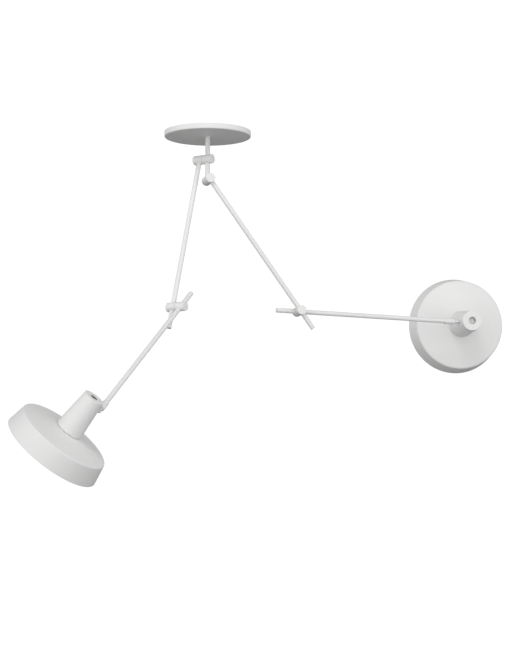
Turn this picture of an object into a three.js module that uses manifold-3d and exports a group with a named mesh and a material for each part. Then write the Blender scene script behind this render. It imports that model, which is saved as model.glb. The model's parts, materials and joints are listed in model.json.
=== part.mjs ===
// A ceiling lamp with two jointed arms. A flat round canopy carries a short stem. Each arm hangs from
// the stem by a friction knuckle, bends at a second knuckle and ends in a swivel that holds a shade.
// Millimetres, +Z up. The origin is on the ceiling, at the middle of the ceiling strap's top face.

import * as THREE from "three";
import { mergeVertices } from "three/addons/utils/BufferGeometryUtils.js";
import Module from "manifold-3d";

// ---------------------------------------------------------------- driving dimensions

const GAP = 0.3; // between pieces that touch
const OVERLAP = 0.2; // how far joined shapes reach into each other
const PAST = 20; // how far a cutter runs past what it cuts

const CANOPY = { radius: 100, depth: 13, wall: 1, edge: 2.5 };
const STRAP = { length: 193, width: 36, thickness: 2.5, lug: 9, bossRadius: 9, bossDepth: 5.5 };
const SCREW_SLOT = { offset: 72, halfLength: 8, halfWidth: 2.6 };
const CABLE_HOLE = { radius: 6, offset: -22 };
const SIDE_SCREW = { radius: 1.9, length: 6.5, depth: 6.5 };
const TERMINAL = { length: 34, width: 15, height: 7.5, offset: 40, wayRadius: 1.8, wayPitch: 10 };
const STEM = { radius: 5.5, wall: 1, top: 2.8, bottom: 120 };
const STEM_NUT = { radius: 9.5, height: 2.8 };

// A rod passes the axis of the knuckle at its top by its inset.
const ROD = { radius: 5.5, wall: 1, inset: 6 };
const KNUCKLE = { radius: 10.8, length: 49, spacing: 22.6, seam: 1, chamfer: 1.2, seamChamfer: 0.4 };
const WASHER = { radius: 9.4, thickness: 0.4 };
const RIVET = { radius: 3.5, headRadius: 5, headDepth: 1.2, headUnder: 4.2 };
const GRUB = { radius: 1.9, length: 4, tip: 5.8, socket: 1, socketDepth: 1.8 };
const CAP = { lip: 1, plug: 6 };
const UPPER_ARM = { length: 368, stub: 50 };
const FOREARM = { length: 387.6, stub: 51 }; // elbow axis to shade pivot, and the stub past the elbow

// The swivel is measured from its pivot.
const SLEEVE = { radius: 7, start: 30.6, end: 7.4, rodEnd: 10.2, neckRadius: 4, chamfer: 0.6 };
const BALL_RADIUS = 4.9;
const FORK_SLOT = { halfWidth: 1.8, top: 5.1 };
const TONGUE = { halfWidth: 1.5, eyeRadius: 4.6, webHalf: 2.6 };
const COLLAR = { radius: 3.6, top: 5.1, end: 5.8 };
const SHANK = { radius: 2.4, end: 12.6 };
const HINGE_PIN = { radius: 1.1, halfLength: 4.4 };
const SHANK_NUT = { radius: 5, top: 8.8, height: 3 };

// The shade is measured along its own axis: height 0 is the open rim.
const PIVOT = { radius: 31.4, height: 129.5 };
const SHADE = {
  rim: 114, shoulder: 106, shoulderHeight: 45.5, shoulderRound: 5, top: 60.8, hole: 27.4, wall: 1,
};
const NECK = {
  base: 31, baseHeight: 61.2, baseRound: 1.6, top: 23.3, height: 152, topRound: 1,
  wall: 1.2, roof: 2, hole: 8.7,
};
const SPIGOT = { radius: 27.1, bore: 24.8, end: 53.5, shelfBore: 22.5, shelfLow: 57, shelfHigh: 66 };
const RING = { radius: 34, lip: 21, low: 50.5, lipTop: 53.2, top: 57.2 };
const HOLDER = {
  radius: 19.5, low: 54, flangeRadius: 24.4, flangeTop: 56.6, shoulder: 108, domeRadius: 14, top: 117,
  bore: 14, boreTop: 85, gripRadius: 11, gripTop: 143.5,
};
const BULB_CAP = { radius: 13.3, low: 57, top: 81, contactRadius: 5, contactStart: 83, contactEnd: 84 };
const BULB = { radius: 22.5, centre: 30.5, neckRadius: 12.5, neckTop: 56.7 };

// How each arm hangs: how far down the stem its knuckle is, whether the stem ends in that knuckle, which
// side its grub screws are on, and its joints' angles in degrees.
const ARMS = {
  left: {
    drop: 64.5, stemBore: "", screwSide: -1,
    yaw: 146.1, tilt: 16.2, elbow: 32.8, swivel: -15.3, bend: 62.2, roll: 50.4,
  },
  right: {
    drop: 114, stemBore: "below", screwSide: 1,
    yaw: -76.2, tilt: 35.8, elbow: 52.3, swivel: -33.4, bend: 5.7, roll: -57.9,
  },
};

// Sides of the round pieces.
const SIDES = {
  shade: 36, canopy: 36, neck: 24, holder: 16, bulb: 16, knuckle: 16, rod: 12, rivet: 10, small: 8, hex: 6,
};

// ---------------------------------------------------------------- finishes

const white = () => new THREE.MeshStandardMaterial({ color: 0xe6e6e4, roughness: 0.5, metalness: 0 });
const steel = () => new THREE.MeshStandardMaterial({ color: 0x9fa1a3, roughness: 0.35, metalness: 1 });
const zinc = () => new THREE.MeshStandardMaterial({ color: 0xb4b6b8, roughness: 0.5, metalness: 0.9 });
const nylon = () => new THREE.MeshStandardMaterial({ color: 0xd9d9d4, roughness: 0.6, metalness: 0 });
const plastic = () => new THREE.MeshStandardMaterial({ color: 0xe9e8e2, roughness: 0.45, metalness: 0 });
const capMetal = () => new THREE.MeshStandardMaterial({ color: 0xc2bfb6, roughness: 0.3, metalness: 1 });
const opal = () => new THREE.MeshStandardMaterial({ color: 0xf6f4ee, roughness: 0.3, metalness: 0 });

// ---------------------------------------------------------------- shape helpers

const wasm = await Module();
wasm.setup();

function solidFrom(geometry) {
  const bare = geometry.index ? geometry.toNonIndexed() : geometry.clone();
  bare.deleteAttribute("normal");
  bare.deleteAttribute("uv");
  const merged = mergeVertices(bare, 1e-4);
  const vertProperties = merged.attributes.position.array;
  const triVerts = new Uint32Array(merged.index.array);
  return new wasm.Manifold(new wasm.Mesh({ numProp: 3, vertProperties, triVerts }));
}

function geometryFrom(solid) {
  const mesh = solid.getMesh();
  const geometry = new THREE.BufferGeometry();
  geometry.setAttribute("position", new THREE.BufferAttribute(new Float32Array(mesh.vertProperties), 3));
  geometry.setIndex(new THREE.BufferAttribute(new Uint32Array(mesh.triVerts), 1));
  geometry.computeVertexNormals();
  return geometry;
}

// The first shape joined with the others.
function join(first, ...others) {
  return geometryFrom(others.reduce((solid, other) => solid.add(solidFrom(other)), solidFrom(first)));
}

// The first shape with the others cut away.
function cut(first, ...tools) {
  return geometryFrom(tools.reduce((solid, tool) => solid.subtract(solidFrom(tool)), solidFrom(first)));
}

// A turned piece on the Z axis. The outline is [radius, height] points, up the outside and down the inside.
function turned(outline, sides) {
  const points = outline.map(([radius, height]) => new THREE.Vector2(radius, height));
  if (outline[0][0] > 0) points.push(points[0].clone());
  return new THREE.LatheGeometry(points, sides).rotateX(Math.PI / 2);
}

function cylinder(radius, low, high, sides) {
  return turned([[0, low], [radius, low], [radius, high], [0, high]], sides);
}

function tube(radius, bore, low, high, sides) {
  return turned([[bore, low], [radius, low], [radius, high], [bore, high]], sides);
}

function box(low, high) {
  const size = high.map((value, axis) => value - low[axis]);
  const middle = high.map((value, axis) => (value + low[axis]) / 2);
  return new THREE.BoxGeometry(...size).translate(...middle);
}

// Points on an arc around [radius, height], from one angle to another, in degrees.
function arc(centre, size, from, to, steps) {
  return Array.from({ length: steps + 1 }, (_, step) => {
    const angle = THREE.MathUtils.degToRad(from + ((to - from) * step) / steps);
    return [centre[0] + size * Math.cos(angle), centre[1] + size * Math.sin(angle)];
  });
}

// Puts an outline's first point exactly on the axis, and its last one too where it ends there.
function fromAxis(outline) {
  return outline.map(([radius, height]) => [radius < 1e-6 ? 0 : radius, height]);
}

// The corner of two straight lines, rounded: a few points in place of one.
function rounded(before, corner, after, size, steps) {
  const [a, b, c] = [before, corner, after].map((point) => new THREE.Vector2(...point));
  const start = b.clone().add(a.sub(b).setLength(size));
  const end = b.clone().add(c.sub(b).setLength(size));
  return new THREE.QuadraticBezierCurve(start, b, end).getPoints(steps).map((point) => [point.x, point.y]);
}

// A sheet-metal shell: the outer line, then the same line moved in by the wall's thickness.
function shell(outer, wall) {
  const normal = (from, to) => new THREE.Vector2(from[1] - to[1], to[0] - from[0]).normalize();
  const inner = outer.map((point, index) => {
    const before = index > 0 ? normal(outer[index - 1], point) : normal(point, outer[1]);
    const after = index < outer.length - 1 ? normal(point, outer[index + 1]) : before;
    const middle = before.clone().add(after).normalize();
    const reach = wall / middle.dot(after);
    return [point[0] + middle.x * reach, point[1] + middle.y * reach];
  });
  return [...outer, ...inner.reverse()];
}

const alongX = (geometry) => geometry.rotateY(Math.PI / 2);
const alongY = (geometry) => geometry.rotateX(-Math.PI / 2);

function place(parent, name, geometry, material) {
  const mesh = new THREE.Mesh(geometry, material);
  mesh.name = name;
  parent.add(mesh);
}

// A turned frame at a point: one joint of the lamp.
function joint(parent, position, axis, degrees) {
  const group = new THREE.Group();
  group.position.set(...position);
  group.rotation[axis] = THREE.MathUtils.degToRad(degrees);
  parent.add(group);
  return group;
}

// ---------------------------------------------------------------- ceiling mounting

function strapShape() {
  const [half, side, plate] = [STRAP.length / 2, STRAP.width / 2, STRAP.thickness];
  const lugs = [-1, 1].map((end) => box(
    [end > 0 ? half - plate : -half, -side / 2, -STRAP.lug - plate],
    [end > 0 ? half : plate - half, side / 2, -plate / 2],
  ));
  const boss = cylinder(STRAP.bossRadius, -plate - STRAP.bossDepth, -plate / 2, SIDES.rod);
  const bore = cylinder(STEM.radius + GAP, -PAST, -plate, SIDES.rod);
  const screwSlots = [-1, 1].map((end) => box(
    [end * SCREW_SLOT.offset - SCREW_SLOT.halfLength, -SCREW_SLOT.halfWidth, -PAST],
    [end * SCREW_SLOT.offset + SCREW_SLOT.halfLength, SCREW_SLOT.halfWidth, PAST],
  ));
  const cableHole = cylinder(CABLE_HOLE.radius, -PAST, PAST, SIDES.small).translate(CABLE_HOLE.offset, 0, 0);
  const blank = join(box([-half, -side, -plate], [half, side, 0]), ...lugs, boss);
  return cut(blank, bore, cableHole, ...screwSlots, ...sideBores(half - 2 * plate));
}

// The two bores for the side screws, from the ends of the strap outwards.
function sideBores(start) {
  const bore = () => alongX(cylinder(SIDE_SCREW.radius + GAP, start, CANOPY.radius + PAST, SIDES.hex));
  return [0, Math.PI].map((turn) => bore().translate(0, 0, -SIDE_SCREW.depth).rotateZ(turn));
}

function canopyShape() {
  const { radius, depth, wall, edge } = CANOPY;
  const corner = arc([radius - edge, edge - depth], edge, -90, 0, 2);
  const line = [[STEM.radius + GAP, -depth], ...corner, [radius, 0]];
  return cut(turned(shell(line, wall), SIDES.canopy), ...sideBores(radius - edge));
}

function sideScrewShape() {
  const outer = CANOPY.radius - GAP;
  const body = cylinder(SIDE_SCREW.radius, outer - SIDE_SCREW.length, outer, SIDES.hex);
  const socket = cylinder(GRUB.socket, outer - GRUB.socketDepth, outer + PAST, SIDES.hex);
  return alongX(cut(body, socket)).translate(0, 0, -SIDE_SCREW.depth);
}

function terminalShape() {
  const { length, width, height, offset, wayRadius, wayPitch } = TERMINAL;
  const top = -STRAP.thickness - GAP;
  const block = box([offset - length / 2, -width / 2, top - height], [offset + length / 2, width / 2, top]);
  const ways = [-1, 0, 1].map((way) => alongY(cylinder(wayRadius, -PAST, PAST, SIDES.small))
    .translate(offset + way * wayPitch, 0, top - height / 2));
  return cut(block, ...ways);
}

function addCeilingMount(lamp) {
  place(lamp, "ceiling_strap", strapShape(), zinc());
  place(lamp, "canopy", canopyShape(), white());
  place(lamp, "canopy_screw_left", sideScrewShape().rotateZ(Math.PI), steel());
  place(lamp, "canopy_screw_right", sideScrewShape(), steel());
  place(lamp, "terminal_block", terminalShape(), nylon());
  const stem = tube(STEM.radius, STEM.radius - STEM.wall, -STEM.bottom, -STEM.top, SIDES.rod);
  place(lamp, "stem", stem, white());
  const nutTop = -STRAP.thickness - STRAP.bossDepth - GAP;
  const nut = cut(
    cylinder(STEM_NUT.radius, nutTop - STEM_NUT.height, nutTop, SIDES.hex),
    cylinder(STEM.radius + GAP, -PAST, 0, SIDES.rod),
  );
  place(lamp, "stem_nut", nut, zinc());
}

// ---------------------------------------------------------------- knuckles

// Half a knuckle, turned on X from the seam outwards, with a rod's bore across it. The bore is closed above
// or below where the rod ends inside, and open both ways where the rod's stub comes out.
function knuckleHalf(closed, screwSide) {
  const { radius, chamfer, seamChamfer, seam, spacing, length } = KNUCKLE;
  const [low, high] = [seam / 2, length / 2];
  const rodAxis = spacing / 2;
  const blank = alongX(turned([
    [0, low], [radius - seamChamfer, low], [radius, low + seamChamfer],
    [radius, high - chamfer], [radius - chamfer, high], [0, high],
  ], SIDES.knuckle));
  const top = closed === "above" ? ROD.inset + GAP : 2 * radius;
  const bottom = closed === "below" ? ROD.inset + GAP : 2 * radius;
  const rodBore = cylinder(ROD.radius + GAP, -bottom, top, SIDES.rod).translate(rodAxis, 0, 0);
  const rivetBore = alongX(cylinder(RIVET.radius + GAP, 0, rodAxis, SIDES.rivet));
  const headBore = alongX(cylinder(RIVET.headRadius + GAP, RIVET.headUnder - GAP, rodAxis, SIDES.rivet));
  const screwBore = onSide(cylinder(GRUB.radius + GAP, 0, 2 * radius, SIDES.hex), screwSide);
  return cut(blank, rodBore, rivetBore, headBore, screwBore);
}

// A grub screw's bore or body, laid across the knuckle towards +Y or -Y.
function onSide(geometry, screwSide) {
  return alongY(geometry).rotateZ(screwSide > 0 ? 0 : Math.PI).translate(KNUCKLE.spacing / 2, 0, 0);
}

// The rivet that the two halves turn on, with a head in each half.
function rivetShape() {
  const { radius, headRadius, headDepth, headUnder } = RIVET;
  const end = headUnder + headDepth;
  return alongX(turned([
    [0, -end], [headRadius, -end], [headRadius, -headUnder], [radius, -headUnder],
    [radius, headUnder], [headRadius, headUnder], [headRadius, end], [0, end],
  ], SIDES.rivet));
}

function grubShape(screwSide) {
  const body = cylinder(GRUB.radius, GRUB.tip, GRUB.tip + GRUB.length, SIDES.hex);
  const socketFloor = GRUB.tip + GRUB.length - GRUB.socketDepth;
  const socket = cylinder(GRUB.socket, socketFloor, socketFloor + PAST, SIDES.hex);
  return onSide(cut(body, socket), screwSide);
}

// One half, its grub screw, and which way it faces along X.
function addKnuckleHalf(parent, name, { facing, closed, screwSide }) {
  const turn = facing > 0 ? 0 : Math.PI;
  const side = facing * screwSide;
  place(parent, name, knuckleHalf(closed, side).rotateZ(turn), white());
  place(parent, `${name}_screw`, grubShape(side).rotateZ(turn), steel());
}

function addKnucklePivot(parent, name) {
  const { radius, thickness } = WASHER;
  const washer = alongX(tube(radius, RIVET.radius + GAP, -thickness / 2, thickness / 2, SIDES.rod));
  place(parent, `${name}_rivet`, rivetShape(), steel());
  place(parent, `${name}_washer`, washer, nylon());
}

// ---------------------------------------------------------------- rods

// A tube hung from its own axis point, from a height above it down to a length below it.
function rodShape(above, below) {
  return tube(ROD.radius, ROD.radius - ROD.wall, -below, above, SIDES.rod);
}

// The plug in a stub's open end. It points down from height 0, with its lip outside.
function rodCapShape() {
  const plug = ROD.radius - ROD.wall - GAP;
  return turned([
    [0, -CAP.lip - GAP], [ROD.radius, -CAP.lip - GAP], [ROD.radius, -GAP],
    [plug, -GAP], [plug, CAP.plug], [0, CAP.plug],
  ], SIDES.rod);
}

// ---------------------------------------------------------------- shade swivel

// The sleeve on the rod's end, with a slotted ball below it. The pivot is at the origin.
function sleeveShape() {
  const { radius, start, end, rodEnd, neckRadius, chamfer } = SLEEVE;
  const body = turned([
    [0, end], [radius - chamfer, end], [radius, end + chamfer],
    [radius, start - chamfer], [radius - chamfer, start], [0, start],
  ], SIDES.knuckle);
  const bore = cylinder(ROD.radius + GAP, rodEnd - GAP, start + PAST, SIDES.rod);
  const neck = cylinder(neckRadius, BALL_RADIUS / 2, end + OVERLAP, SIDES.rod);
  const ball = turned(fromAxis(arc([0, 0], BALL_RADIUS, -90, 90, 5)), SIDES.rod);
  const slot = box([-FORK_SLOT.halfWidth, -PAST, -PAST], [FORK_SLOT.halfWidth, PAST, FORK_SLOT.top]);
  return cut(join(body, neck, ball), bore, slot, pinBore());
}

// The bore for the hinge pin, through the fork's cheeks and the tongue's eye.
function pinBore() {
  return alongX(cylinder(HINGE_PIN.radius + GAP, -PAST, PAST, SIDES.small));
}

// The flat eye between the fork's cheeks, its collar outside the neck and its shank through the wall.
function tongueShape() {
  const { halfWidth, eyeRadius, webHalf } = TONGUE;
  const eye = alongX(cylinder(eyeRadius, -halfWidth, halfWidth, SIDES.rod));
  const web = box([-halfWidth, -webHalf, -COLLAR.top - OVERLAP], [halfWidth, webHalf, -HINGE_PIN.radius]);
  const collar = cylinder(COLLAR.radius, -COLLAR.end, -COLLAR.top, SIDES.rivet);
  const shank = cylinder(SHANK.radius, -SHANK.end, -COLLAR.top - OVERLAP, SIDES.small);
  return cut(join(eye, web, collar, shank), pinBore());
}

function shankNutShape() {
  const { radius, top, height } = SHANK_NUT;
  const bore = cylinder(SHANK.radius + GAP, -PAST, 0, SIDES.small);
  return cut(cylinder(radius, -top - height, -top, SIDES.hex), bore);
}

// ---------------------------------------------------------------- shade

function shadeShape() {
  const { rim, shoulder, shoulderHeight, shoulderRound, top, hole, wall } = SHADE;
  const [edge, corner, middle] = [[rim, 0], [shoulder, shoulderHeight], [hole, top]];
  const line = [edge, ...rounded(edge, corner, middle, shoulderRound, 2), middle];
  return turned(shell(line, wall), SIDES.shade);
}

// The neck is a tapered cup with a round hole in its roof. Below it, a spigot goes through the shade.
function neckShape() {
  const { base, baseHeight, baseRound, top, height, topRound, wall, roof, hole } = NECK;
  const body = turned([
    [base - baseRound, baseHeight], [base, baseHeight + baseRound],
    [top, height - topRound], [top - topRound, height],
    [hole, height], [hole, height - roof], [top - wall, height - roof],
    [base - 2 * wall, SPIGOT.shelfHigh], [SPIGOT.shelfBore, SPIGOT.shelfHigh],
    [SPIGOT.shelfBore, SPIGOT.shelfLow], [SPIGOT.bore, SPIGOT.shelfLow],
    [SPIGOT.bore, SPIGOT.end], [SPIGOT.radius, SPIGOT.end], [SPIGOT.radius, baseHeight],
  ], SIDES.neck);
  const shankBore = cylinder(SHANK.radius + GAP, 0, PIVOT.radius, SIDES.small).rotateX(Math.PI / 2);
  return cut(body, shankBore.translate(0, 0, PIVOT.height));
}

// Screws onto the spigot. It clamps the shade from below and its lip carries the lampholder.
function ringShape() {
  return turned([
    [RING.lip, RING.low], [RING.radius, RING.low], [RING.radius, RING.top], [SPIGOT.radius + GAP, RING.top],
    [SPIGOT.radius + GAP, RING.lipTop], [RING.lip, RING.lipTop],
  ], SIDES.neck);
}

// A flanged socket with a domed top. The cord grip on the dome ends just under the neck's roof.
function holderShape() {
  const { radius, low, flangeRadius, flangeTop, shoulder, domeRadius, top } = HOLDER;
  const { bore, boreTop, gripRadius, gripTop } = HOLDER;
  return turned([
    [bore, low], [flangeRadius, low], [flangeRadius, flangeTop], [radius, flangeTop],
    [radius, shoulder], [domeRadius, top], [gripRadius, top], [gripRadius, gripTop],
    [0, gripTop], [0, boreTop], [bore, boreTop],
  ], SIDES.holder);
}

function bulbCapShape() {
  const { radius, low, top, contactRadius, contactStart, contactEnd } = BULB_CAP;
  return turned([
    [0, low], [radius, low], [radius, top],
    [contactRadius, contactStart], [contactRadius, contactEnd], [0, contactEnd],
  ], SIDES.bulb);
}

function bulbShape() {
  const { radius, centre, neckRadius, neckTop } = BULB;
  const neckAngle = THREE.MathUtils.radToDeg(Math.acos(neckRadius / radius));
  const globe = fromAxis(arc([0, centre], radius, -90, neckAngle, 6));
  return turned([...globe, [neckRadius, neckTop], [0, neckTop]], SIDES.bulb);
}

function addShade(parent, side) {
  place(parent, `${side}_neck`, neckShape(), white());
  place(parent, `${side}_shade`, shadeShape(), white());
  place(parent, `${side}_shade_ring`, ringShape(), plastic());
  place(parent, `${side}_lampholder`, holderShape(), plastic());
  place(parent, `${side}_bulb_cap`, bulbCapShape(), capMetal());
  place(parent, `${side}_bulb`, bulbShape(), opal());
}

// ---------------------------------------------------------------- arms

function addArm(lamp, side) {
  const set = ARMS[side];
  const { screwSide } = set;
  const rodAxis = KNUCKLE.spacing / 2;

  // The shoulder: X runs along the knuckle, from the half on the stem to the half on the arm.
  const onStem = joint(lamp, [0, 0, -set.drop], "z", set.yaw);
  const shoulder = joint(onStem, [rodAxis, 0, 0], "x", 0);
  addKnuckleHalf(shoulder, `${side}_shoulder_stem_half`, { facing: -1, closed: set.stemBore, screwSide });
  addKnucklePivot(shoulder, `${side}_shoulder`);

  const upper = joint(shoulder, [0, 0, 0], "x", set.tilt);
  addKnuckleHalf(upper, `${side}_shoulder_arm_half`, { facing: 1, closed: "above", screwSide });
  const upperEnd = UPPER_ARM.length + UPPER_ARM.stub;
  place(upper, `${side}_upper_rod`, rodShape(ROD.inset, upperEnd).translate(rodAxis, 0, 0), white());
  place(upper, `${side}_upper_rod_cap`, rodCapShape().translate(rodAxis, 0, -upperEnd), white());

  // The elbow.
  const elbow = joint(upper, [0, 0, -UPPER_ARM.length], "x", 0);
  addKnuckleHalf(elbow, `${side}_elbow_upper_half`, { facing: 1, closed: "", screwSide });
  addKnucklePivot(elbow, `${side}_elbow`);
  const forearm = joint(elbow, [0, 0, 0], "x", set.elbow);
  addKnuckleHalf(forearm, `${side}_elbow_fore_half`, { facing: -1, closed: "", screwSide });
  const rod = rodShape(FOREARM.stub, FOREARM.length - SLEEVE.rodEnd).translate(-rodAxis, 0, 0);
  place(forearm, `${side}_forearm_rod`, rod, white());
  const cap = rodCapShape().rotateX(Math.PI).translate(-rodAxis, 0, FOREARM.stub);
  place(forearm, `${side}_forearm_rod_cap`, cap, white());

  // The swivel: the sleeve turns on the rod, the tongue bends in its fork, the shade turns on the shank.
  const sleeve = joint(forearm, [-rodAxis, 0, -FOREARM.length], "z", set.swivel);
  place(sleeve, `${side}_swivel_sleeve`, sleeveShape(), white());
  const pin = alongX(cylinder(HINGE_PIN.radius, -HINGE_PIN.halfLength, HINGE_PIN.halfLength, SIDES.small));
  place(sleeve, `${side}_swivel_pin`, pin, steel());
  const tongue = joint(sleeve, [0, 0, 0], "x", set.bend);
  place(tongue, `${side}_swivel_tongue`, tongueShape(), white());
  place(tongue, `${side}_swivel_nut`, shankNutShape(), zinc());

  // The shade's own frame: Z up its axis from the rim, with the pivot on its -Y side.
  const rolled = joint(tongue, [0, 0, 0], "z", set.roll);
  addShade(joint(rolled, [0, -PIVOT.height, -PIVOT.radius], "x", -90), side);
}

// ---------------------------------------------------------------- the lamp

const lamp = new THREE.Group();
addCeilingMount(lamp);
addArm(lamp, "left");
addArm(lamp, "right");

export default lamp;
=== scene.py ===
"""Looks for the two-arm ceiling lamp: smooth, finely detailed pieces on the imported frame.

Metres, in the CAD model's own frame: +Z up, the origin on the ceiling in the middle of the canopy.
"""

import json
import math

import bmesh
import bpy
from mathutils import Matrix, Vector


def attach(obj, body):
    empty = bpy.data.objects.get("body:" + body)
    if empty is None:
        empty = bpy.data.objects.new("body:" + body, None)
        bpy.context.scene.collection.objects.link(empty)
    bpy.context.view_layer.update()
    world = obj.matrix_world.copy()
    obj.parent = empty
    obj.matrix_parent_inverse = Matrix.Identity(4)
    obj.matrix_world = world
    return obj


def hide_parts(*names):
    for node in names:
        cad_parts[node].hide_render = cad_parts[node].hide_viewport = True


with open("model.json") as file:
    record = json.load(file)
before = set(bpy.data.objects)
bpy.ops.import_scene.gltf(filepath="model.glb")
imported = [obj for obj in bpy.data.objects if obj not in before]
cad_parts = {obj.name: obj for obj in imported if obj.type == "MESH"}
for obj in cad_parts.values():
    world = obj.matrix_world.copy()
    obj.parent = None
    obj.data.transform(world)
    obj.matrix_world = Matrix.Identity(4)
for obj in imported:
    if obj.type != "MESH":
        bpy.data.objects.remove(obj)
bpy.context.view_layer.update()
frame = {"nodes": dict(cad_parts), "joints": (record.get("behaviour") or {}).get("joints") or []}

MM = 0.001
JOINTS = {joint["name"]: joint for joint in frame["joints"]}

# ---------------------------------------------------------------- sizes, in millimetres as in the CAD

GAP = 0.3
ROD_RADIUS = 5.5
ROD_WALL = 1.0
ROD_INSET = 6.0
UPPER_STUB = 50.0
FORE_STUB = 51.0
STEM_TOP = 2.8
STEM_BOTTOM = 120.0
CANOPY_RADIUS = 100.0
CANOPY_DEPTH = 13.0
CANOPY_WALL = 1.0
KNUCKLE_RADIUS = 10.8
KNUCKLE_LENGTH = 49.0
KNUCKLE_SEAM = 1.0
GRUB_RADIUS = 1.9
GRUB_TIP = 5.8
GRUB_LENGTH = 4.0
RIVET_RADIUS = 3.5
WASHER_RADIUS = 9.4
SLEEVE_RADIUS = 7.0
SLEEVE_START = 30.6
SLEEVE_END = 7.4
SLEEVE_ROD_END = 10.2
BALL_RADIUS = 4.9
SLOT_HALF = 1.8
TONGUE_HALF = 1.5
SHANK_RADIUS = 2.4
SLEEVE_WAIST = 4
PIN_BORE = 1.4
PIN_RADIUS = 1.1
PIN_HALF = 4.4
EYE_RADIUS = 4.6
COLLAR_RADIUS = 3.6

# The shade, measured along its axis from the open rim.
RIM_RADIUS = 114.0
SHOULDER_RADIUS = 106.0
SHOULDER_HEIGHT = 45.5
CONE_TOP = 60.8
SHADE_HOLE = 27.4
SHADE_WALL = 1.0
NECK_BASE = 31.0
NECK_FOOT = 61.2
NECK_TOP = 23.3
NECK_HEIGHT = 152.0
NECK_WALL = 1.2
NECK_ROOF = 2.0
NECK_HOLE = 8.7
PIVOT_RADIUS = 31.4
PIVOT_HEIGHT = 129.5

# The bulb's globe.
GLOBE_RADIUS = 22.5
GLOBE_CENTRE = 30.5
GLOBE_SWEEP = 146.3
GLOBE_STEPS = 33

# Points nearer the axis than this share one vertex. Slivers smaller than WELD are removed after a cut.
ON_AXIS = 1e-6
WELD = 0.002
HARD_EDGE = 40

SIDES_LARGE = 192
SIDES_MEDIUM = 128
SIDES_SMALL = 64

# ---------------------------------------------------------------- camera


def make_camera():
    """The camera stands well back and a little under the shades, looking slightly up."""
    data = bpy.data.cameras.new("camera")
    data.lens = 113.8
    data.sensor_width = 36.0
    data.clip_start = 0.1
    data.clip_end = 100.0
    camera = bpy.data.objects.new("camera", data)
    camera.location = (0.1163, -4.7761, -1.0113)
    camera.rotation_euler = (math.radians(90 + 6.5), 0, 0)
    bpy.context.scene.collection.objects.link(camera)
    bpy.context.scene.camera = camera


make_camera()

# ---------------------------------------------------------------- materials


class Material:
    """A node material on the Principled shader, in object coordinates."""

    def __init__(self, name, colour, roughness, metallic=0.0):
        self.data = bpy.data.materials.new(name)
        self.data.use_nodes = True
        self.data.diffuse_color = (*colour, 1)
        self.tree = self.data.node_tree
        self.shader = self.tree.nodes["Principled BSDF"]
        self.shader.inputs["Base Color"].default_value = (*colour, 1)
        self.shader.inputs["Roughness"].default_value = roughness
        self.shader.inputs["Metallic"].default_value = metallic
        self.place = self.tree.nodes.new("ShaderNodeTexCoord").outputs["Object"]
        self.height = None

    def link(self, source, target):
        self.tree.links.new(source, target)

    def stretch(self, scale):
        """The place, scaled by a different amount along each axis."""
        node = self.tree.nodes.new("ShaderNodeMapping")
        node.inputs["Scale"].default_value = scale
        self.link(self.place, node.inputs["Vector"])
        return node.outputs["Vector"]

    def noise(self, scale, detail=2.0, place=None):
        node = self.tree.nodes.new("ShaderNodeTexNoise")
        node.inputs["Scale"].default_value = scale
        node.inputs["Detail"].default_value = detail
        self.link(place or self.place, node.inputs["Vector"])
        return node.outputs["Fac"]

    def cells(self, scale):
        node = self.tree.nodes.new("ShaderNodeTexVoronoi")
        node.inputs["Scale"].default_value = scale
        self.link(self.place, node.inputs["Vector"])
        return node.outputs["Color"]

    def spread(self, source, low, high, start=0.3, end=0.7):
        """Maps the middle of a texture's range to values from low to high."""
        node = self.tree.nodes.new("ShaderNodeMapRange")
        node.inputs["From Min"].default_value = start
        node.inputs["From Max"].default_value = end
        node.inputs["To Min"].default_value = low
        node.inputs["To Max"].default_value = high
        self.link(source, node.inputs["Value"])
        return node.outputs["Result"]

    def tint(self, source, low, high):
        """The base colour runs from low to high across a texture's range."""
        node = self.tree.nodes.new("ShaderNodeValToRGB")
        node.color_ramp.elements[0].position = 0.3
        node.color_ramp.elements[0].color = (*low, 1)
        node.color_ramp.elements[1].position = 0.7
        node.color_ramp.elements[1].color = (*high, 1)
        self.link(source, node.inputs["Fac"])
        self.link(node.outputs["Color"], self.shader.inputs["Base Color"])

    def roughen(self, source, low, high):
        self.link(self.spread(source, low, high), self.shader.inputs["Roughness"])

    def emboss(self, source, strength, distance):
        """Adds a bump over the ones before it."""
        node = self.tree.nodes.new("ShaderNodeBump")
        node.inputs["Strength"].default_value = strength
        node.inputs["Distance"].default_value = distance
        self.link(source, node.inputs["Height"])
        if self.height:
            self.link(self.height, node.inputs["Normal"])
        self.height = node.outputs["Normal"]
        self.link(self.height, self.shader.inputs["Normal"])


def shade_of(colour, factor):
    return tuple(channel * factor for channel in colour)


def powder_coat():
    """Matt white powder coat: a fine orange peel, with a slight drift in tone and sheen."""
    colour = (0.80, 0.80, 0.795)
    coat = Material("white_powder_coat", colour, 0.48)
    coat.tint(coat.noise(9, 3), shade_of(colour, 0.985), shade_of(colour, 1.01))
    coat.roughen(coat.noise(420, 3), 0.43, 0.55)
    coat.emboss(coat.noise(620, 2), 0.10, 0.10 * MM)
    coat.emboss(coat.noise(2200, 2), 0.08, 0.03 * MM)
    coat.shader.inputs["Specular IOR Level"].default_value = 0.42
    return coat.data


def turned_steel(name="turned_steel", colour=(0.56, 0.57, 0.58)):
    """Bright steel with the fine rings and specks that a lathe leaves."""
    steel = Material(name, colour, 0.32, 1.0)
    steel.tint(steel.noise(160, 4), shade_of(colour, 0.86), shade_of(colour, 1.08))
    steel.roughen(steel.noise(900, 3), 0.24, 0.42)
    steel.emboss(steel.noise(1800, 3), 0.15, 0.05 * MM)
    return steel.data


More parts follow.
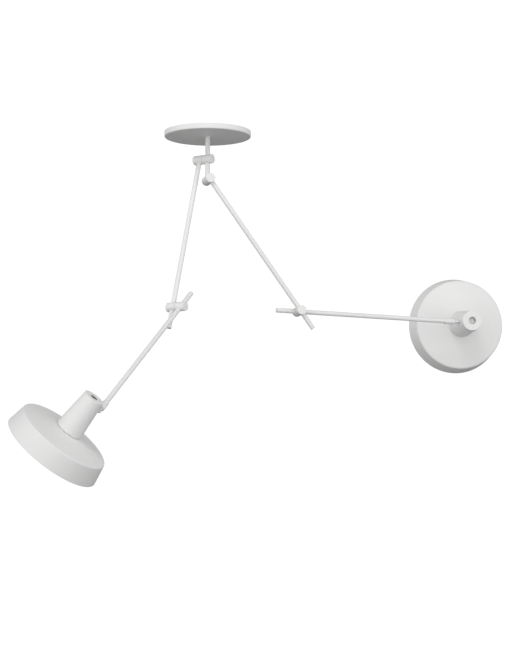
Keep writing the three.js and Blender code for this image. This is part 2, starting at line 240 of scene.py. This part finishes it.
def zinc_plate():
    """Zinc-plated sheet: faint spangles and long rolling marks."""
    colour = (0.62, 0.63, 0.64)
    zinc = Material("zinc_plate", colour, 0.45, 1.0)
    zinc.tint(zinc.cells(210), shade_of(colour, 0.82), shade_of(colour, 1.12))
    marks = zinc.noise(60, 3, zinc.stretch((2, 30, 30)))
    zinc.roughen(marks, 0.34, 0.56)
    zinc.emboss(marks, 0.12, 0.06 * MM)
    return zinc.data


def moulded(name, colour, roughness, grain):
    """Moulded plastic: a soft grain and a little cloudiness."""
    plastic = Material(name, colour, roughness)
    plastic.tint(plastic.noise(45, 3), shade_of(colour, 0.955), shade_of(colour, 1.02))
    plastic.roughen(plastic.noise(600, 2), roughness - 0.07, roughness + 0.07)
    plastic.emboss(plastic.noise(grain, 3), 0.25, 0.06 * MM)
    return plastic.data


def opal_globe():
    """The bulb's frosted white globe, slightly translucent."""
    colour = (0.90, 0.89, 0.865)
    opal = Material("opal_globe", colour, 0.32)
    opal.tint(opal.noise(70, 3), shade_of(colour, 0.975), shade_of(colour, 1.015))
    opal.roughen(opal.noise(700, 2), 0.26, 0.38)
    opal.emboss(opal.noise(1500, 2), 0.08, 0.03 * MM)
    opal.shader.inputs["Subsurface Weight"].default_value = 0.25
    opal.shader.inputs["Subsurface Radius"].default_value = (0.006, 0.005, 0.004)
    opal.shader.inputs["Coat Weight"].default_value = 0.15
    return opal.data


WHITE = powder_coat()
STEEL = turned_steel()
ZINC = zinc_plate()
NYLON = moulded("nylon", (0.72, 0.72, 0.69), 0.55, 1200)
PLASTIC = moulded("white_plastic", (0.83, 0.825, 0.80), 0.36, 1700)
CAP_METAL = turned_steel("cap_metal", (0.68, 0.66, 0.61))
OPAL = opal_globe()

# ---------------------------------------------------------------- frames


def place_of(joint):
    return Vector(JOINTS[joint]["pos_m"])


def axis_of(joint):
    return Vector(JOINTS[joint]["axis"]).normalized()


def basis(origin, z, x):
    """A frame at origin, with Z along z and X as near x as it can be."""
    z = z.normalized()
    x = (x - z * x.dot(z)).normalized()
    turn = Matrix((x, z.cross(x), z)).transposed()
    return Matrix.Translation(origin) @ turn.to_4x4()


def middle_of(node):
    """The mean of a turned CAD node's points, which is on its axis."""
    points = [vertex.co for vertex in frame["nodes"][node].data.vertices]
    return sum(points, Vector()) / len(points)


class Arm:
    """The frames of one arm, read from its joints."""

    def __init__(self, side):
        self.side = side
        self.screw_side = -1 if side == "left" else 1
        self.knuckle_axis = axis_of(f"{side}_shoulder")
        shoulder = place_of(f"{side}_shoulder")
        elbow = place_of(f"{side}_elbow")
        pivot = place_of(f"{side}_sleeve_swivel")
        upper_up = shoulder - elbow
        fore_up = axis_of(f"{side}_sleeve_swivel")
        self.upper_length = upper_up.length / MM
        self.fore_length = (elbow - pivot).dot(fore_up) / MM
        self.offset = (elbow - pivot).dot(self.knuckle_axis) / MM
        self.shoulder_level = basis(shoulder, Vector((0, 0, 1)), self.knuckle_axis)
        self.shoulder = basis(shoulder, upper_up, self.knuckle_axis)
        self.elbow_upper = basis(elbow, upper_up, self.knuckle_axis)
        self.elbow_fore = basis(elbow, fore_up, self.knuckle_axis)
        self.sleeve = basis(pivot, fore_up, axis_of(f"{side}_shade_tilt"))
        self.tongue = basis(pivot, axis_of(f"{side}_shade_turn"), axis_of(f"{side}_shade_tilt"))
        self.shade = self.shade_frame(pivot)

    def shade_frame(self, pivot):
        """Z up the shade's axis from the rim's middle, with the pivot on the -Y side."""
        low = middle_of(f"{self.side}_bulb")
        up = (middle_of(f"{self.side}_lampholder") - low).normalized()
        shade = frame["nodes"][f"{self.side}_shade"].data.vertices
        rim = min((vertex.co - low).dot(up) for vertex in shade)
        origin = low + up * rim
        out = pivot - origin
        out -= up * out.dot(up)
        return basis(origin, up, up.cross(out))


# ---------------------------------------------------------------- mesh code


def corner(before, point, after, radius, steps):
    """The points of a rounded corner in an outline."""
    point = Vector(point[:2])
    to_before = Vector(before[:2]) - point
    to_after = Vector(after[:2]) - point
    reach = radius / math.tan(to_before.angle(to_after) / 2)
    reach = min(reach, to_before.length * 0.49, to_after.length * 0.49)
    start = point + to_before.normalized() * reach
    end = point + to_after.normalized() * reach
    curve = []
    for step in range(steps + 1):
        part = step / steps
        curve.append(start.lerp(point, part).lerp(point.lerp(end, part), part))
    return curve


def outline(points, closed=True, steps=5):
    """An outline of (radius, height) points. A third number rounds that corner by so much."""
    line = []
    count = len(points)
    for index, point in enumerate(points):
        if len(point) == 3:
            line += corner(points[index - 1], point, points[(index + 1) % count], point[2], steps)
        else:
            line.append(Vector(point[:2]))
    return line, closed


def ring_points(line, sides, ripple):
    """The outline's points at every angle, moved by the ripple where there is one."""
    rings = []
    for step in range(sides):
        angle = 2 * math.pi * step / sides
        ring = []
        for radius, height in line:
            if ripple:
                radius += ripple(radius, height, angle)
            ring.append(Vector((radius * math.cos(angle), radius * math.sin(angle), height)) * MM)
        rings.append(ring)
    return rings


def vertex_grid(mesh, line, rings):
    """A row of vertices for each ring. The rows share the vertices that are on the axis."""
    grid = []
    poles = {}
    for ring in rings:
        row = []
        for index, point in enumerate(ring):
            if line[index].x > ON_AXIS:
                row.append(mesh.verts.new(point))
            else:
                if index not in poles:
                    poles[index] = mesh.verts.new(point)
                row.append(poles[index])
        grid.append(row)
    return grid


def skin(mesh, grid, closed):
    """Faces between each row of vertices and the next."""
    count = len(grid[0])
    for step, here in enumerate(grid):
        there = grid[(step + 1) % len(grid)]
        for index in range(count if closed else count - 1):
            after = (index + 1) % count
            face = [here[index], there[index], there[after], here[after]]
            face = [vert for at, vert in enumerate(face) if vert not in face[:at]]
            if len(face) > 2:
                mesh.faces.new(face)


def turned(name, points, place, sides=SIDES_MEDIUM, closed=True, ripple=None, steps=5):
    """A turned piece. A closed outline is a ring; an open one starts and ends on the axis."""
    line, closed = outline(points, closed, steps)
    rings = ring_points(line, sides, ripple)
    mesh = bmesh.new()
    skin(mesh, vertex_grid(mesh, line, rings), closed)
    return finished(name, mesh, place)


def finished(name, mesh, place):
    """Puts a bmesh in the scene as an object, smooth except at its sharp edges."""
    bmesh.ops.recalc_face_normals(mesh, faces=mesh.faces)
    data = bpy.data.meshes.new(name)
    mesh.to_mesh(data)
    mesh.free()
    data.transform(place)
    made = bpy.data.objects.new(name, data)
    bpy.context.scene.collection.objects.link(made)
    smooth(made)
    return made


def smooth(made, degrees=32):
    for polygon in made.data.polygons:
        polygon.use_smooth = True
    made.data.set_sharp_from_angle(angle=math.radians(degrees))


def block(name, low, high, place, bevel=0.0):
    """A box between two corners, with rounded edges."""
    mesh = bmesh.new()
    bmesh.ops.create_cube(mesh, size=1)
    low, high = Vector(low) * MM, Vector(high) * MM
    for vert in mesh.verts:
        vert.co = Vector(((vert.co[axis] + 0.5) * (high[axis] - low[axis]) + low[axis]) for axis in range(3))
    if bevel:
        bmesh.ops.bevel(mesh, geom=mesh.edges, offset=bevel * MM, segments=3, profile=0.5, affect="EDGES")
    return finished(name, mesh, place)


def rod(name, radius, low, high, place, sides=SIDES_SMALL):
    """A plain round bar, used as a cutter or joined to another shape."""
    return turned(name, [(0, low), (radius, low), (radius, high), (0, high)], place, sides, closed=False)


def combine(made, operation, others):
    """Cuts or joins the other shapes, then removes them."""
    for other in others:
        modifier = made.modifiers.new("boolean", "BOOLEAN")
        modifier.operation = operation
        modifier.solver = "EXACT"
        modifier.object = other
    graph = bpy.context.evaluated_depsgraph_get()
    mesh = bpy.data.meshes.new_from_object(made.evaluated_get(graph))
    made.modifiers.clear()
    made.data = mesh
    for other in others:
        bpy.data.objects.remove(other)
    clean(made)
    smooth(made)
    return made


def clean(made):
    """Welds the tiny slivers that a cut can leave."""
    mesh = bmesh.new()
    mesh.from_mesh(made.data)
    bmesh.ops.remove_doubles(mesh, verts=mesh.verts, dist=WELD * MM)
    bmesh.ops.dissolve_degenerate(mesh, edges=mesh.edges, dist=WELD * MM)
    mesh.to_mesh(made.data)
    mesh.free()


def cut(made, *tools):
    return combine(made, "DIFFERENCE", tools)


def join(made, *others):
    return combine(made, "UNION", others)


def soften(made, width, segments=2):
    """Rounds the sharp edges that a cut leaves."""
    modifier = made.modifiers.new("soften", "BEVEL")
    modifier.width = width * MM
    modifier.segments = segments
    modifier.limit_method = "ANGLE"
    modifier.angle_limit = math.radians(HARD_EDGE)
    modifier.harden_normals = True


def dress(made, body, material, slot, *nodes):
    """Gives a piece its material, its body and the CAD nodes that it stands for."""
    made.data.materials.clear()
    made.data.materials.append(material)
    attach(made, body)
    if nodes:
        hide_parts(*nodes)


X_TURN = Matrix.Rotation(math.radians(90), 4, "Y")
Y_TURN = Matrix.Rotation(math.radians(-90), 4, "X")


def shifted(place, x=0.0, y=0.0, z=0.0):
    return place @ Matrix.Translation(Vector((x, y, z)) * MM)


# ---------------------------------------------------------------- ceiling mount

LEVEL = Matrix.Identity(4)


def make_canopy():
    """The shallow round cover against the ceiling."""
    radius, depth, wall = CANOPY_RADIUS, CANOPY_DEPTH, CANOPY_WALL
    hole = ROD_RADIUS + GAP
    canopy = turned("canopy_shell", [
        (hole, -depth, 0.3), (radius, -depth, 3.2), (radius, 0, 0.35), (radius - wall, 0, 0.35),
        (radius - wall, wall - depth, 2.2), (hole, wall - depth, 0.3),
    ], LEVEL, SIDES_LARGE, steps=8)
    dress(canopy, "ceiling_mount", WHITE, "white_paint", "canopy")


def make_tube(name, low, high, place):
    """A rod's tube with slightly rounded ends."""
    bore = ROD_RADIUS - ROD_WALL
    return turned(name, [
        (bore, low, 0.2), (ROD_RADIUS, low, 0.35), (ROD_RADIUS, high, 0.35), (bore, high, 0.2),
    ], place, SIDES_SMALL, steps=3)


def make_stem():
    """The short tube that both arms hang from."""
    stem = make_tube("stem_tube", -STEM_BOTTOM, -STEM_TOP, LEVEL)
    dress(stem, "ceiling_mount", WHITE, "white_paint", "stem")


def dress_cad(node, material, bevel):
    """A CAD node that is kept: its edges are rounded and its material is replaced."""
    kept = frame["nodes"][node]
    kept.data.materials.clear()
    kept.data.materials.append(material)
    modifier = kept.modifiers.new("edges", "BEVEL")
    modifier.width = bevel * MM
    modifier.segments = 2
    modifier.limit_method = "ANGLE"
    modifier.angle_limit = math.radians(HARD_EDGE)


make_canopy()
make_stem()
dress_cad("ceiling_strap", ZINC, 0.4)
dress_cad("stem_nut", ZINC, 0.35)
dress_cad("terminal_block", NYLON, 0.5)
for end in ("left", "right"):
    dress_cad(f"canopy_screw_{end}", STEEL, 0.15)

# ---------------------------------------------------------------- knuckles


def make_half(arm, name, body, place, facing, rod_low, rod_high):
    """Half a knuckle with its rod's bore across it, and the grub screw's bore and screw."""
    facing_place = place if facing > 0 else place @ Matrix.Rotation(math.pi, 4, "Z")
    low, high = KNUCKLE_SEAM / 2, KNUCKLE_LENGTH / 2
    radius = KNUCKLE_RADIUS
    half = turned(f"{name}_body", [
        (0, low), (radius, low, 0.35), (radius, high, 0.8), (0, high),
    ], facing_place @ X_TURN, SIDES_MEDIUM, closed=False)
    rod_place = shifted(place, x=facing * arm.offset)
    bore = rod("bore", ROD_RADIUS + GAP / 2, rod_low, rod_high, rod_place)
    screw_place = rod_place @ (Y_TURN if arm.screw_side > 0 else Y_TURN.inverted())
    screw_bore = rod("screw_bore", GRUB_RADIUS + GAP, 0, 2 * radius, screw_place)
    cut(half, bore, screw_bore)
    soften(half, 0.22)
    dress(half, body, WHITE, "white_paint", name)
    make_grub(f"{name}_grub", body, screw_place, f"{name}_screw")


def make_grub(name, body, place, node):
    """A grub screw with a hexagon socket."""
    top = GRUB_TIP + GRUB_LENGTH
    screw = turned(name, [
        (0, GRUB_TIP), (GRUB_RADIUS, GRUB_TIP, 0.5), (GRUB_RADIUS, top, 0.3), (0, top),
    ], place, SIDES_SMALL, closed=False, steps=3)
    cut(screw, rod("socket", 1.05, top - 1.8, top + 1, place, sides=6))
    dress(screw, body, STEEL, "bright_steel", node)


def make_pivot(name, body, place):
    """The rivet that two halves turn on, and the washer between them."""
    rivet = turned(f"{name}_pin", [
        (0, -5.4), (5, -5.4, 0.4), (5, -4.2), (RIVET_RADIUS, -4.2), (RIVET_RADIUS, 4.2), (5, 4.2),
        (5, 5.4, 0.4), (0, 5.4),
    ], place @ X_TURN, SIDES_SMALL, closed=False, steps=3)
    dress(rivet, body, STEEL, "bright_steel", f"{name}_rivet")
    washer = turned(f"{name}_disc", [
        (RIVET_RADIUS + GAP, -0.2), (WASHER_RADIUS, -0.2), (WASHER_RADIUS, 0.2), (RIVET_RADIUS + GAP, 0.2),
    ], place @ X_TURN, SIDES_SMALL)
    dress(washer, body, NYLON, "nylon", f"{name}_washer")


# ---------------------------------------------------------------- rods


def make_cap(name, body, place, node):
    """The plug in a tube's open end, with its lip outside. It points along -Z."""
    plug = ROD_RADIUS - ROD_WALL - GAP
    lip = 1.0 + GAP
    cap = turned(name, [
        (0, -lip), (ROD_RADIUS, -lip, 0.45), (ROD_RADIUS, -GAP, 0.15), (plug, -GAP), (plug, 6, 0.4), (0, 6),
    ], place, SIDES_SMALL, closed=False, steps=4)
    dress(cap, body, WHITE, "white_paint", node)


def make_rods(arm):
    """The upper arm's and the forearm's tubes, with their plugs."""
    side = arm.side
    upper = shifted(arm.shoulder, x=arm.offset)
    upper_end = -arm.upper_length - UPPER_STUB
    tube = make_tube(f"{side}_upper_tube", upper_end, ROD_INSET, upper)
    dress(tube, f"{side}_upper_arm", WHITE, "white_paint", f"{side}_upper_rod")
    make_cap(f"{side}_upper_plug", f"{side}_upper_arm", shifted(upper, z=upper_end), f"{side}_upper_rod_cap")
    fore = shifted(arm.elbow_fore, x=-arm.offset)
    tube = make_tube(f"{side}_fore_tube", SLEEVE_ROD_END - arm.fore_length, FORE_STUB, fore)
    dress(tube, f"{side}_forearm", WHITE, "white_paint", f"{side}_forearm_rod")
    cap_place = shifted(fore, z=FORE_STUB) @ Matrix.Rotation(math.pi, 4, "X")
    make_cap(f"{side}_fore_plug", f"{side}_forearm", cap_place, f"{side}_forearm_rod_cap")


# ---------------------------------------------------------------- shade swivel


def make_sleeve(arm):
    """The sleeve on the rod's end, with a slotted ball below it."""
    place = arm.sleeve
    ball_top = math.acos(SLEEVE_WAIST / BALL_RADIUS)
    profile = [(0, -BALL_RADIUS)]
    for step in range(1, 21):
        angle = -math.pi / 2 + (ball_top + math.pi / 2) * step / 20
        profile.append((BALL_RADIUS * math.cos(angle), BALL_RADIUS * math.sin(angle)))
    sleeve = turned(f"{arm.side}_sleeve_body", profile + [
        (SLEEVE_WAIST, SLEEVE_END), (SLEEVE_RADIUS, SLEEVE_END, 0.9), (SLEEVE_RADIUS, SLEEVE_START, 0.9),
        (0, SLEEVE_START),
    ], place, SIDES_SMALL, closed=False)
    bore = rod("bore", ROD_RADIUS + GAP / 2, SLEEVE_ROD_END - GAP, SLEEVE_START + 5, place)
    slot = block("slot", (-SLOT_HALF, -9, -9), (SLOT_HALF, 9, 5.1), place)
    pin_bore = rod("pin_bore", PIN_BORE, -9, 9, place @ X_TURN)
    cut(sleeve, bore, slot, pin_bore)
    soften(sleeve, 0.2)
    dress(sleeve, f"{arm.side}_sleeve", WHITE, "white_paint", f"{arm.side}_swivel_sleeve")
    pin = turned(f"{arm.side}_hinge_pin", [
        (0, -PIN_HALF), (PIN_RADIUS, -PIN_HALF, 0.25), (PIN_RADIUS, PIN_HALF, 0.25), (0, PIN_HALF),
    ], place @ X_TURN, SIDES_SMALL, closed=False, steps=3)
    dress(pin, f"{arm.side}_sleeve", STEEL, "bright_steel", f"{arm.side}_swivel_pin")


def make_tongue(arm):
    """The eye between the fork's cheeks, its collar and the shank through the neck's wall."""
    place = arm.tongue
    tongue = rod(f"{arm.side}_tongue_body", EYE_RADIUS, -TONGUE_HALF, TONGUE_HALF, place @ X_TURN)
    web_half = TONGUE_HALF - 0.06
    web = block("web", (-web_half, -2.6, -5.3), (web_half, 2.6, -2.2), place)
    collar = rod("collar", COLLAR_RADIUS, -5.8, -5.1, place)
    shank = rod("shank", SHANK_RADIUS, -12.6, -5.2, place)
    join(tongue, web, collar, shank)
    cut(tongue, rod("pin_bore", PIN_BORE, -9, 9, place @ X_TURN))
    soften(tongue, 0.12)
    dress(tongue, f"{arm.side}_tongue", WHITE, "white_paint", f"{arm.side}_swivel_tongue")
    nut = rod(f"{arm.side}_shank_nut", 5, -11.8, -8.8, place, sides=6)
    cut(nut, rod("nut_bore", SHANK_RADIUS + GAP, -20, 0, place))
    soften(nut, 0.3)
    dress(nut, f"{arm.side}_tongue", ZINC, "zinc_steel", f"{arm.side}_swivel_nut")


# ---------------------------------------------------------------- shade


def make_shade(arm):
    """A spun shell: a soft shoulder, a shallow cone, and a rim that is turned in a little."""
    wall = SHADE_WALL
    slope = (RIM_RADIUS - SHOULDER_RADIUS) / SHOULDER_HEIGHT
    shade = turned(f"{arm.side}_shade_shell", [
        (RIM_RADIUS, 0, 0.45), (SHOULDER_RADIUS, SHOULDER_HEIGHT, 5.5), (SHADE_HOLE, CONE_TOP, 0.3),
        (SHADE_HOLE, CONE_TOP - wall, 0.3), (SHOULDER_RADIUS - wall, SHOULDER_HEIGHT - wall, 4.5),
        (RIM_RADIUS - wall - slope, 0, 0.45),
    ], arm.shade, SIDES_LARGE, steps=8)
    dress(shade, f"{arm.side}_shade_head", WHITE, "white_paint", f"{arm.side}_shade")


def make_neck(arm):
    """A tapered cup with a round hole in its roof, and the spigot that holds the shade."""
    neck = turned(f"{arm.side}_neck_cup", [
        (NECK_BASE, NECK_FOOT, 1.6), (NECK_TOP, NECK_HEIGHT, 1.3), (NECK_HOLE, NECK_HEIGHT, 0.4),
        (NECK_HOLE, NECK_HEIGHT - NECK_ROOF, 0.3), (NECK_TOP - NECK_WALL, NECK_HEIGHT - NECK_ROOF, 0.6),
        (NECK_BASE - 2 * NECK_WALL, 66, 0.5), (22.5, 66, 0.3), (22.5, 57, 0.2), (24.8, 57, 0.2),
        (24.8, 53.5, 0.3), (27.1, 53.5, 0.3), (27.1, NECK_FOOT, 0.2),
    ], arm.shade, SIDES_MEDIUM, steps=6)
    hole_place = shifted(arm.shade, z=PIVOT_HEIGHT) @ Y_TURN.inverted()
    cut(neck, rod("shank_bore", SHANK_RADIUS + GAP, 0, PIVOT_RADIUS, hole_place))
    dress(neck, f"{arm.side}_shade_head", WHITE, "white_paint", f"{arm.side}_neck")


def knurl(count, depth, low, high):
    """Grip grooves round a ring's edge, between two heights."""
    def ripple(radius, height, angle):
        if radius < 33 or not low < height < high:
            return 0.0
        return -depth * (0.5 + 0.5 * math.cos(count * angle)) ** 3
    return ripple


def thread(pitch, depth, low, high):
    """A rounded screw thread between two heights."""
    def ripple(radius, height, angle):
        if radius < 12 or not low < height < high:
            return 0.0
        return depth * math.sin(2 * math.pi * height / pitch - angle)
    return ripple


def column(radius, low, high, steps):
    """Points straight up a wall, close enough together for a thread or a knurl to show."""
    return [(radius, low + (high - low) * step / steps) for step in range(steps + 1)]


def make_ring(side, body, place):
    """The knurled ring that clamps the shade."""
    ring = turned(f"{side}_clamp_ring", [
        (21, 50.5, 0.4), *column(34, 51, 56.8, 4), (27.4, 57.2, 0.3), (27.4, 53.2), (21, 53.2, 0.3),
    ], place, SIDES_LARGE, ripple=knurl(48, 0.9, 50, 58))
    dress(ring, body, PLASTIC, "white_plastic", f"{side}_shade_ring")


def make_holder(side, body, place):
    """The lampholder, with its cord grip on top."""
    holder = turned(f"{side}_holder_body", [
        (0, 85), (14, 85, 0.3), (14, 54, 0.3), (24.4, 54, 0.4), (24.4, 56.6, 0.3), (20, 56.6), (19.5, 58),
        (19.5, 82, 0.2), (18.9, 82.6, 0.2), (18.9, 84.4, 0.2), (19.5, 85, 0.2), (19.5, 108, 1.5),
        (14, 117, 1.5), (11, 117, 0.5), (11, 143.5, 0.8), (0, 143.5),
    ], place, SIDES_MEDIUM, closed=False)
    dress(holder, body, PLASTIC, "white_plastic", f"{side}_lampholder")


def make_bulb(side, body, place):
    """The bulb's threaded cap and its round globe."""
    cap = turned(f"{side}_screw_cap", [
        (0, 57), (12.8, 57, 0.2), *column(12.75, 58.5, 79, 60), (11.5, 81, 0.5), (5, 83, 0.4), (5, 84, 0.4),
        (0, 84),
    ], place, SIDES_SMALL, closed=False, ripple=thread(3.6, 0.5, 59, 78.5))
    dress(cap, body, CAP_METAL, "cap_metal", f"{side}_bulb_cap")
    globe = [(0, GLOBE_CENTRE - GLOBE_RADIUS)]
    for step in range(1, GLOBE_STEPS):
        angle = math.radians(-90 + GLOBE_SWEEP * step / GLOBE_STEPS)
        globe.append((GLOBE_RADIUS * math.cos(angle), GLOBE_CENTRE + GLOBE_RADIUS * math.sin(angle)))
    globe += [(12.6, 49.6), (12.5, 53), (12.5, 56.7, 0.3), (0, 56.7)]
    bulb = turned(f"{side}_globe", globe, place, SIDES_MEDIUM, closed=False)
    dress(bulb, body, OPAL, "opal_bulb", f"{side}_bulb")


def make_fittings(arm):
    """The clamp ring, lampholder and bulb inside the shade."""
    body = f"{arm.side}_shade_head"
    make_ring(arm.side, body, arm.shade)
    make_holder(arm.side, body, arm.shade)
    make_bulb(arm.side, body, arm.shade)


# ---------------------------------------------------------------- arms

THROUGH = 2 * KNUCKLE_RADIUS
CLOSED = ROD_INSET + GAP

for side in ("left", "right"):
    arm = Arm(side)
    stem_low = -CLOSED if side == "right" else -THROUGH
    make_half(arm, f"{side}_shoulder_stem_half", f"{side}_knuckle", arm.shoulder_level, -1, stem_low, THROUGH)
    make_pivot(f"{side}_shoulder", f"{side}_knuckle", arm.shoulder_level)
    make_half(arm, f"{side}_shoulder_arm_half", f"{side}_upper_arm", arm.shoulder, 1, -THROUGH, CLOSED)
    make_half(arm, f"{side}_elbow_upper_half", f"{side}_upper_arm", arm.elbow_upper, 1, -THROUGH, THROUGH)
    make_pivot(f"{side}_elbow", f"{side}_upper_arm", arm.elbow_upper)
    make_half(arm, f"{side}_elbow_fore_half", f"{side}_forearm", arm.elbow_fore, -1, -THROUGH, THROUGH)
    make_rods(arm)
    make_sleeve(arm)
    make_tongue(arm)
    make_shade(arm)
    make_neck(arm)
    make_fittings(arm)

# ---------------------------------------------------------------- floor and light

FLOOR_HALF = 3.2
FLOOR_HEIGHT = -2.4

# The studio's light against height, as (sine of the elevation, share of STUDIO_LIGHT).
# AROUND comes from every side. FRONT is added towards the camera's side and taken away behind.
STUDIO_LIGHT = 2.1
AROUND = [(-0.9, 0.08), (-0.34, 0.25), (0.12, 0.46), (0.6, 0.34), (0.95, 0.04)]
FRONT = [(-0.9, 0.0), (-0.34, 0.38), (0.12, 0.16), (0.6, 0.12), (0.95, 0.0)]
BACKDROP = 1.05

KEY_PLACE = (-0.4, -3.2, 2.9)
KEY_TARGET = (0.1, 0, -0.45)
KEY_SIZE = 1.8
KEY_POWER = 42


def make_floor():
    """A plain pale floor, a room's height below the ceiling."""
    mesh = bmesh.new()
    bmesh.ops.create_grid(mesh, x_segments=2, y_segments=2, size=FLOOR_HALF)
    floor = finished("floor", mesh, Matrix.Translation((0, 0, FLOOR_HEIGHT)))
    paint = Material("floor_paint", (0.42, 0.42, 0.42), 0.8)
    paint.tint(paint.noise(1.5), (0.41, 0.41, 0.41), (0.43, 0.43, 0.43))
    floor.data.materials.append(paint.data)


def ramp(tree, source, stops):
    """A smooth curve of brightness, from 0 to 1, over a source that runs from -1 to 1."""
    spread = tree.nodes.new("ShaderNodeMapRange")
    spread.inputs["From Min"].default_value = -1
    tree.links.new(source, spread.inputs["Value"])
    curve = tree.nodes.new("ShaderNodeValToRGB")
    curve.color_ramp.interpolation = "EASE"
    elements = curve.color_ramp.elements
    while len(elements) < len(stops):
        elements.new(0.5)
    for element, (height, level) in zip(elements, stops):
        element.position = 0.5 + 0.5 * height
        element.color = (level, level, level, 1)
    tree.links.new(spread.outputs["Result"], curve.inputs["Fac"])
    return curve.outputs["Color"]


def calculate(tree, operation, first, second):
    """The result of one maths node. Each input is a number or a socket."""
    node = tree.nodes.new("ShaderNodeMath")
    node.operation = operation
    for socket, value in zip(node.inputs, (first, second)):
        if isinstance(value, (int, float)):
            socket.default_value = value
        else:
            tree.links.new(value, socket)
    return node.outputs["Value"]


def make_world():
    """A white studio, brighter in front than behind, and dim straight above and below."""
    world = bpy.data.worlds.new("studio")
    bpy.context.scene.world = world
    world.use_nodes = True
    tree = world.node_tree
    light = tree.nodes["Background"]
    split = tree.nodes.new("ShaderNodeSeparateXYZ")
    tree.links.new(tree.nodes.new("ShaderNodeTexCoord").outputs["Generated"], split.inputs["Vector"])
    height = split.outputs["Z"]
    around = ramp(tree, height, AROUND)
    front = ramp(tree, height, FRONT)
    towards = calculate(tree, "MULTIPLY", calculate(tree, "MULTIPLY", split.outputs["Y"], -1.0), front)
    level = calculate(tree, "MAXIMUM", calculate(tree, "ADD", around, towards), 0.0)
    tree.links.new(level, light.inputs["Color"])
    light.inputs["Strength"].default_value = STUDIO_LIGHT
    backdrop = tree.nodes.new("ShaderNodeBackground")
    backdrop.inputs["Color"].default_value = (1, 1, 1, 1)
    backdrop.inputs["Strength"].default_value = BACKDROP
    choice = tree.nodes.new("ShaderNodeMixShader")
    tree.links.new(tree.nodes.new("ShaderNodeLightPath").outputs["Is Camera Ray"], choice.inputs["Fac"])
    tree.links.new(light.outputs["Background"], choice.inputs[1])
    tree.links.new(backdrop.outputs["Background"], choice.inputs[2])
    tree.links.new(choice.outputs["Shader"], tree.nodes["World Output"].inputs["Surface"])


def make_light(name, place, target, size, power):
    """A round area light, turned towards its target."""
    data = bpy.data.lights.new(name, "AREA")
    data.shape = "DISK"
    data.size = size
    data.energy = power
    light = bpy.data.objects.new(name, data)
    light.location = place
    light.rotation_euler = (Vector(target) - Vector(place)).to_track_quat("-Z", "Y").to_euler()
    bpy.context.scene.collection.objects.link(light)


def make_studio():
    """The floor, the surroundings and one key light, high in front."""
    make_floor()
    make_world()
    make_light("key", KEY_PLACE, KEY_TARGET, KEY_SIZE, KEY_POWER)
    bpy.context.scene.view_settings.view_transform = "Standard"
    bpy.context.scene.view_settings.look = "None"


make_studio()
